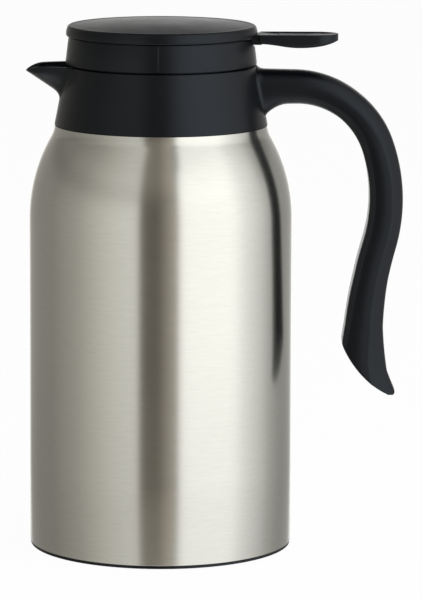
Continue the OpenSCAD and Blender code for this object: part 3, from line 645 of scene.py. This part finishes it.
# What changes along the handle, by the share of its length: its thickness, as a share of GRIP_T, the height
# of the band along its back, the radius of the band's lower edge, and how far the band slants inwards.
THICK_AT = ((0, 1.03), (0.24, 0.915), (0.52, 1), (0.7, 1.03), (0.82, 1.14), (0.94, 1.44), (1, 1.86))
BAND_AT = ((0, 5.6), (0.2, 5.2), (0.35, 4.6), (0.6, 4.8), (0.85, 6.2), (1, 10.5))
EDGE_AT = ((0, 8), (0.2, 6), (0.45, 2.6), (1, 2.6))
SLANT_AT = ((0, 4.6), (0.8, 4.8), (1, 6.0))


def handle_at(s):
    """Centre line of the handle at the distance s: x, z and the heading, which turns from +X to -Z."""
    x, z, heading = HANDLE_X + min(s, HANDLE_RUN), HANDLE_Z, 0.0
    left = s - HANDLE_RUN
    for (radius, _, side), length in zip(BENDS, BEND_LENGTHS):
        if left <= 0:
            break
        step = left if side < 0 else min(left, length)  # the last bend goes on past its end
        r = radius * side
        turned = heading + step / r
        x += r * (math.sin(turned) - math.sin(heading))
        z -= r * (math.cos(heading) - math.cos(turned))
        heading = turned
        left -= step
    return x, z, heading


def handle_place(s, across, out):
    """The place at the distance s that lies across and out from the centre line."""
    x, z, heading = handle_at(s)
    return (x + out * math.sin(heading), across, z + out * math.cos(heading))


def handle_half(s):
    return GRIP_T * lookup(clamp(s / HANDLE_LEN), THICK_AT) / 2


# The free end is cut slanting by a hollow of END_R, and its outer tip is rounded by TIP_R.
END_R, TIP_R = 51.0, 2.3
CUT_X, _, CUT_Z = handle_place(HANDLE_LEN - GRIP_T / 2, 0, 0)
END_X, END_Z = CUT_X + 36.6, CUT_Z + 37.6


def end_of(share):
    """Where along the handle the hollow cuts the line at a share of its half thickness."""
    low, high = HANDLE_LEN * 0.6, HANDLE_LEN * 1.12
    for _ in range(30):
        s = (low + high) / 2
        x, _, z = handle_place(s, 0, share * handle_half(s))
        inside = math.hypot(x - END_X, z - END_Z) < END_R or z > END_Z or x > END_X
        low, high = (s, high) if inside else (low, s)
    return (low + high) / 2


TIP_SLOPE = (end_of(1) - end_of(0.8)) / (0.2 * handle_half(HANDLE_LEN))
TIP_LEAN = math.hypot(1, TIP_SLOPE)
TIP_S = end_of(1) - TIP_R * (TIP_SLOPE + TIP_LEAN)


def end_line(share):
    """Where the free end lies at a share of the half thickness, with its outer tip rounded off."""
    gap = (1 - share) * handle_half(HANDLE_LEN)
    if gap >= TIP_R * (1 + TIP_SLOPE / TIP_LEAN):
        return end_of(share)
    return TIP_S + math.sqrt(TIP_R ** 2 - (TIP_R - gap) ** 2)


def handle_section(s):
    """The grip's section: rounded inside, a slightly full side, and a slanting band along its back.

    Near the root it is deeper and almost oval.
    """
    half, width = handle_half(s), GRIP_W / 2
    low = half + 9 * (1 - clamp(s / 14)) ** 2
    high = half + 1.2 * (1 - clamp((s + 0.8) / 3.6)) ** 2
    share = s / HANDLE_LEN
    side = [
        (width * 0.3, -low, 0),
        (width - 1.0, -low, min(5.4, half * 0.6)),
        (width, -low * 0.25, 70),
        (width - 0.35, high - lookup(share, BAND_AT), lookup(share, EDGE_AT)),
        (width - lookup(share, SLANT_AT), high - 0.3, 4.6),
        (width * 0.2, high, 0),
    ]
    runs = 3
    loop = rounded(mirrored(side), 5, runs)
    right = loop[: len(loop) // 2 - runs]
    roundness = 0.8 * (1 - smooth(share, 0.12, 0.4))
    for i, point in enumerate(right):
        t = math.pi * (i / (len(right) - 1) - 0.5)
        reach = high if t > 0 else low
        oval = Vector((width * abs(math.cos(t)) ** 0.75, math.copysign(reach * abs(math.sin(t)) ** 0.85, t)))
        right[i] = point.lerp(oval, roundness)
    return right + [Vector((-p.x, p.y)) for p in reversed(right)]


def moved_out(section, reach):
    """A section with each point moved out, square to the outline, by what reach gives for it."""
    moved = []
    for i, here in enumerate(section):
        along = (section[(i + 1) % len(section)] - section[i - 1]).normalized()
        moved.append(here + reach(here) * Vector((along.y, -along.x)))
    return moved


def root_fillet(s, point):
    """How far the grip swells where it runs into the collar."""
    off = math.hypot(HANDLE_X + s, point.x) - collar_r(HANDLE_Z + point.y)
    return 0.8 * (1 - clamp((off + 0.2) / 1.7)) ** 2


def make_handle():
    """The grip, lofted from inside the collar to its slanting free end, whose edge is rounded by edge_r."""
    root_end, fillet_end, slope_from, edge_r = 6, 9, HANDLE_LEN * 0.74, 0.9
    stations = [(-4 + i / 3, 0, 0) for i in range(30)]
    stations += [(root_end + (HANDLE_LEN - root_end) * i / 96, 0, 0) for i in range(96)]
    for angle in (math.pi / 2 * i / 6 for i in range(7)):
        stations.append((HANDLE_LEN, edge_r * (1 - math.cos(angle)), edge_r * (1 - math.sin(angle))))
    sections = []
    for s, inwards, back in stations:
        section = []
        outline = moved_out(handle_section(s), lambda p: root_fillet(s, p) if s < fillet_end else -inwards)
        for across, out in outline:
            place = s
            if s > slope_from:
                end = end_line(clamp(out / handle_half(s), -1, 1)) - edge_r
                place = slope_from + (s - slope_from) * (end - slope_from) / (HANDLE_LEN - slope_from)
                place += edge_r - back if s == HANDLE_LEN else 0
            section.append(handle_place(place, across, out * handle_half(place) / handle_half(s)))
        sections.append(section)
    bm, rings = loft(sections, caps=False)
    for ring in (rings[0], rings[-1]):  # each end is closed from side to side
        half = len(ring) // 2
        sides = [bm.edges.get(pair) for chain in (ring[:half], ring[half:]) for pair in zip(chain, chain[1:])]
        bmesh.ops.bridge_loops(bm, edges=sides)
    add_piece("handle_grip", bm, "black_plastic", "carafe", "handle_shell", sharp=44)


# ------------------------------------------------------------------ lid


def make_lid_ring():
    """The lid ring, with its lip, the notch for the lever's neck, a fine mould seam and the hinge ears."""
    notch = math.asin(NOTCH_HALF_W / RING_BORE_R)
    seam = math.radians(SEAM_AT)
    psis = [TURN * i / 240 - math.pi for i in range(240)]
    psis += [side * (notch + step) for side in (-1, 1) for step in (0, 0.002)]
    psis += [seam - 0.003, seam, seam + 0.003]
    lean = (RING_FOOT_R - RING_TOP_R) / (RING_TOP_Z - RING_Z)

    def outline(psi):
        top = min(RING_LIP_Z, RING_LIP_Z - 0.26 * (RING_TOP_R * math.cos(psi) - 38))
        if abs(psi) < notch + 0.001:
            top = HINGE_Z - 2
        proud = SEAM_PROUD if psi == seam else 0
        top_r = RING_FOOT_R - lean * (top - RING_Z) + proud
        return [
            (RING_FOOT_R - 1.7, RING_Z),
            (RING_FOOT_R - 0.45, RING_Z),
            (RING_FOOT_R - 0.12, RING_Z + 0.12),
            (RING_FOOT_R - 0.05 + proud, RING_Z + 0.5),
            ((RING_FOOT_R + top_r) / 2 + proud / 2, (RING_Z + top) / 2),
            (top_r + 0.04, top - 0.5),
            (top_r - 0.10, top - 0.12),
            (top_r - 0.40, top),
            (top_r - 0.75, top),
            (top_r - 0.95, top - 0.2),
            (RING_BORE_R + 0.6, min(top - 0.3, DISC_Z - 0.6)),
            (RING_BORE_R, min(top - 0.4, DISC_Z - 1.0)),
            (RING_BORE_R + 0.2, DECK_Z),
            (DECK_HOLE_R, DECK_Z),
            (DECK_HOLE_R, RING_Z),
        ]

    bm = lathe(outline, sorted(psis))
    for y in (-EAR_Y, EAR_Y):
        add_block(bm, (HINGE_X - 2, y - EAR_T / 2, DECK_Z - 0.4), (HINGE_X + 2.1, y + EAR_T / 2, HINGE_Z))
        add_hinge_rod(bm, y, EAR_R, EAR_T)
    add_piece("lid_ring_wall", bm, "black_plastic", "stopper", "lid_ring")


def make_disc():
    """The flip lid's domed disc: up its side, over the soft edge and the dome, and back under it."""
    side_top_r = DISC_R - 0.55
    edge = ((0.65, 0), (0.3, 0.1), (0.1, 0.4), (0, 1), (0.15, 2.4))
    rim = [(DISC_R - inwards, DISC_LOW_Z + up) for inwards, up in edge]
    rim += arc((side_top_r - DISC_EDGE_R, DISC_SIDE_Z - 1.1), DISC_EDGE_R, 8, 82, 7)
    crown = DISC_CROWN_Z - DISC_SIDE_Z
    dome_r = ((DISC_R - 1) ** 2 + crown ** 2) / (2 * crown)
    dome = []
    for i in range(24):
        r = (side_top_r - 1.9) * (1 - i / 23)
        dome.append((r, DISC_CROWN_Z - dome_r + math.sqrt(dome_r ** 2 - r ** 2)))
    under = [(0, DISC_CROWN_Z - 2.3), (30, DISC_CROWN_Z - 3.2)]
    under += [(42.3, DISC_SIDE_Z - 2.6), (43.0, DISC_SIDE_Z - 3.2), (43.0, DISC_LOW_Z)]
    bm = spun(rim + dome + under, 240, DISC_X, closed=False)
    bmesh.ops.bridge_loops(bm, edges=[e for e in bm.edges if len(e.link_faces) == 1])
    add_piece("lid_disc", bm, "black_plastic", "flip_lid", "flip_disc")


def lever_under(x):
    """Underside of the paddle: level at the root, down to the belly and up to the blunt tip."""
    low, root_low, tip_low = LEVER_TOP_Z - 6.3, HINGE_Z - 0.1, LEVER_TOP_Z - 3.1
    if x < LEVER_BELLY:
        share = (x - LEVER_ROOT) / (LEVER_BELLY - LEVER_ROOT)
        return low + (root_low - low) * (1 + math.cos(math.pi * share)) / 2
    return low + (tip_low - low) * ((x - LEVER_BELLY) / (LEVER_REACH - LEVER_BELLY)) ** 2.2


def make_lever():
    """The thumb lever: a dished paddle with a round end, its neck, its barrel, and the tongue in the lid."""
    tip_r = LEVER_W / 2
    tip_x = LEVER_REACH - tip_r
    middle = (LEVER_ROOT + LEVER_REACH) / 2
    trims = {LEVER_ROOT: 0.5, LEVER_ROOT + 0.25: 0.12, LEVER_ROOT + 0.9: 0}  # the root's edge is rounded
    start = max(trims)
    stations = list(trims) + [start + (tip_x - start) * i / 22 for i in range(1, 23)]
    stations += [tip_x + tip_r * math.sin(math.pi / 2 * i / 20) for i in range(1, 20)] + [LEVER_REACH - 0.01]
    sections = []
    for x in stations:
        trim = trims.get(x, 0)
        half = math.sqrt(max(tip_r ** 2 - max(0.0, x - tip_x) ** 2, 0.04))
        inner = max(half - 1.5, half * 0.5)
        low, top = lever_under(x) + trim, LEVER_TOP_Z - trim
        dish = max(0, LEVER_DISH * (1 - ((x - middle) / LEVER_DISH_HALF) ** 2))
        side = [
            (half, low, min(2.6, half * 0.4, (top - low) * 0.4)),
            (half, top, min(0.55, half * 0.3)),
            (inner, top, 0.3),
            (inner - 0.5, top - dish, 0),
        ]
        sections.append([(x, y, z) for y, z in rounded(mirrored(side))])
    bm, _ = loft(sections)
    neck_low = (HINGE_X - 1, -LEVER_NECK_HALF_W, HINGE_Z - 0.6)
    add_block(bm, neck_low, (LEVER_ROOT + 1, LEVER_NECK_HALF_W, LEVER_TOP_Z - 0.25))
    add_block(bm, (TONGUE_X, -TONGUE_HALF_W, DISC_Z), (HINGE_X, TONGUE_HALF_W, DISC_Z + TONGUE_T))
    add_hinge_rod(bm, 0, BARREL_R, BARREL_W)
    add_piece("thumb_paddle", bm, "black_plastic", "flip_lid", "thumb_lever", sharp=34)


# ------------------------------------------------------------------ spring


def make_spring():
    """The valve's spring: a helix with closed ends, on a mesh of its own."""
    steps_a_curl, wire_sides = 28, 10
    end_curls, end_rise = 0.75, 1.4
    rise = SPRING_HIGH - SPRING_LOW - end_rise

    def centre(u):
        """Middle of the wire after u curls."""
        z = SPRING_LOW + end_rise / 2 * min(1, u / end_curls)
        z += rise * clamp((u - end_curls) / (CURLS - 2 * end_curls))
        z += end_rise / 2 * clamp((u - CURLS + end_curls) / end_curls)
        return Vector((SPRING_R * math.cos(TURN * u), SPRING_R * math.sin(TURN * u), z))

    round_wire = [TURN * j / wire_sides for j in range(wire_sides)]
    sections = []
    for i in range(CURLS * steps_a_curl + 1):
        here = centre(i / steps_a_curl)
        out = Vector((here.x, here.y, 0)).normalized()
        sections.append([here + WIRE_R * (out * math.cos(a) + Vector(UP) * math.sin(a)) for a in round_wire])
    bm, _ = loft(sections)
    piece = add_piece("valve_coil", bm, "spring_wire", "stopper", "valve_spring")
    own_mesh(piece)


make_body_shell()
make_base_trim()
make_collar()
make_bore_thread()
make_handle()
make_lid_ring()
make_disc()
make_lever()
make_spring()

# ------------------------------------------------------------------ studio, in metres

WALL_R = 0.75
WALL_HEIGHTS = (
    -0.7, -0.2, -0.16, -0.14, -0.12, -0.09, -0.06, -0.03, 0, 0.06, 0.14, 0.22, 0.3, 0.37, 0.44, 0.52, 0.6,
    0.7, 0.8, 1.0, 1.3, 1.6, 1.8, 2.0, 2.2,
)
CEILING = ((0.3, 2.3), (0, 2.3))

# What the wall shows, by the turn in degrees: from behind round the left, past the camera at 0, to the right.
WALL_TONES = (
    (-180, 1.0), (-168, 1.0), (-160, 0.5), (-152, 0.37), (-130, 0.31), (-104, 0.31), (-74, 0.47),
    (-57, 0.65), (-42, 0.81), (-27, 0.92), (-18.5, 0.93), (-16.5, 0.28), (-12.5, 0.135), (-1, 0.135),
    (4.5, 0.28), (12, 0.43), (14.5, 0.46), (16.5, 1.30), (21, 1.56), (60, 1.60), (66, 1.54), (76, 1.24),
    (86, 1.04), (96, 0.86), (107, 0.60), (122, 0.42), (135, 0.38), (150, 0.45), (160, 0.55), (168, 1.0),
    (180, 1.0),
)


def grey(tone):
    return (tone, tone, tone)


def wall_tone(turn, z):
    """Colour of the wall: warm on the left, brown behind the camera, and neutral in the soft box.

    The straight side of the body mirrors it below 0.1, the collar and the lid from 0.3 to 0.45, and the
    shoulder above that.
    """
    in_box = smooth(turn, 13, 17) * (1 - smooth(turn, 92, 112))
    behind = smooth(abs(turn), 150, 166)
    brown = smooth(turn, -19, -15) * (1 - smooth(turn, 12, 16))
    by_collar = smooth(z, 0.29, 0.37) * (1 - smooth(z, 0.43, 0.54)) * (1 - behind)

    tone = lookup(turn - 5 * smooth(z, 0.5, 0.9) * smooth(turn, 8, 14), WALL_TONES)
    lift = mix(mix(1, 0.8, smooth(z, 0.34, 0.7)), mix(1.6, 0.05, smooth(z, 0.28, 0.46)), behind)
    box_lift = 1 + 0.05 * by_collar - 0.16 * smooth(z, 0.55, 0.9)
    tone *= mix(lift * (1 - 0.25 * by_collar), box_lift, in_box)
    tone = mix(0.80 * tone + 0.03, tone, smooth(z, -0.12, -0.01))  # weaker contrast near the foot
    tone *= 1 - 0.8 * smooth(z, 1.6, 2.2)
    tone += brown * (0.09 * (1 - smooth(z, -0.15, -0.125)) + 0.12 * smooth(z, 0.28, 0.5))

    warm = (1 - in_box) * (1 - 0.7 * behind) * (1 - 0.55 * smooth(turn, -60, -25) * (1 - brown))
    return (tone * (1 + 0.03 * warm + 0.07 * brown), tone, tone * (1 - 0.08 * warm - 0.06 * brown), 1)


def studio_wall():
    """A round wall and ceiling that only reflections see."""
    bm = bmesh.new()
    outline = [(WALL_R, z) for z in WALL_HEIGHTS] + list(CEILING)
    column = [bm.verts.new((r, 0, z)) for r, z in outline]
    edges = [bm.edges.new(pair) for pair in zip(column, column[1:])]
    spin_up(bm, column, edges, 240)
    bmesh.ops.remove_doubles(bm, verts=bm.verts, dist=0.0001)
    tones = bm.verts.layers.float_color.new("tone")
    for vert in bm.verts:
        vert[tones] = wall_tone(math.degrees(math.atan2(vert.co.x, -vert.co.y)), vert.co.z)
    mesh = mesh_of("studio_wall", bm)
    finish, tree = new_finish("studio_wall")
    tone = node(tree, "Attribute", {"attribute_name": "tone"}, {})
    node(tree, "OutputMaterial", {}, {"Surface": node(tree, "Emission", {}, {"Color": tone})})
    mesh.materials.append(finish)
    wall = put_in_scene("studio_wall", mesh)
    wall.visible_camera = wall.visible_diffuse = wall.visible_shadow = False
    wall.visible_transmission = wall.visible_volume_scatter = False


def pale_floor():
    """A floor that the camera sees white, but for a little of the carafe's shadow."""
    bm = bmesh.new()
    bmesh.ops.create_grid(bm, x_segments=1, y_segments=1, size=6)
    mesh = mesh_of("floor", bm)
    finish, tree = new_finish("pale_floor")
    seen = node(tree, "LightPath", {}, {}, "Is Camera Ray")
    lit = node(tree, "BsdfDiffuse", {}, {"Color": grey(0.85)})
    white = node(tree, "Emission", {}, {"Color": grey(1.0), "Strength": 1.0})
    shown = node(tree, "MixShader", {}, {0: seen * 0.97, 1: lit, 2: white})
    node(tree, "OutputMaterial", {}, {"Surface": shown})
    mesh.materials.append(finish)
    floor = put_in_scene("floor", mesh)
    floor.visible_glossy = False


def studio_world():
    """A dim even light all round, which shows white to the camera and in reflections."""
    world = bpy.data.worlds.new("studio")
    world.use_nodes = True
    tree = world.node_tree
    tree.nodes.clear()
    rays = ("Is Camera Ray", "Is Glossy Ray", "Is Transmission Ray")
    seen, glossy, through = (node(tree, "LightPath", {}, {}, ray) for ray in rays)
    tone = blend_colour(tree, (seen + glossy + through).clamped(), grey(0.12), grey(1.0))
    node(tree, "OutputWorld", {}, {"Surface": node(tree, "Background", {}, {"Color": tone, "Strength": 1.0})})
    bpy.context.scene.world = world


def area_light(name, place, aim, width, height, power):
    light = bpy.data.lights.new(name, "AREA")
    light.shape = "RECTANGLE"
    light.size, light.size_y, light.energy = width, height, power
    lamp = put_in_scene(name, light)
    lamp.location = place
    lamp.rotation_euler = (Vector(aim) - Vector(place)).to_track_quat("-Z", "Y").to_euler()
    lamp.visible_glossy = False


studio_wall()
area_light("soft_key", (1.35, -1.15, 0.75), (0, 0, 0.12), 1.0, 1.2, 40)
area_light("soft_fill", (-1.4, -1.0, 0.7), (0, 0, 0.12), 1.2, 1.2, 2)
area_light("soft_top", (0.0, 0.3, 1.6), (0, 0, 0.1), 1.4, 1.4, 8)
pale_floor()
studio_world()

# ------------------------------------------------------------------ camera

FRAME_HEIGHT = 600
FOCAL_PIXELS = 4143
TILT, ROLL = 9.40, 0.225  # degrees down from level, and round the line of sight

camera_data = bpy.data.cameras.new("camera")
camera_data.sensor_width = 36
camera_data.lens = camera_data.sensor_width * FOCAL_PIXELS / FRAME_HEIGHT
camera_data.clip_start, camera_data.clip_end = 0.05, 50
camera = put_in_scene("camera", camera_data)
camera.location = (0.02398, -1.950, 0.4406)
look = Matrix.Rotation(math.radians(90 - TILT), 4, "X") @ Matrix.Rotation(math.radians(ROLL), 4, "Z")
camera.rotation_euler = look.to_euler()
bpy.context.scene.camera = camera
bpy.context.scene.view_settings.view_transform = "Standard"
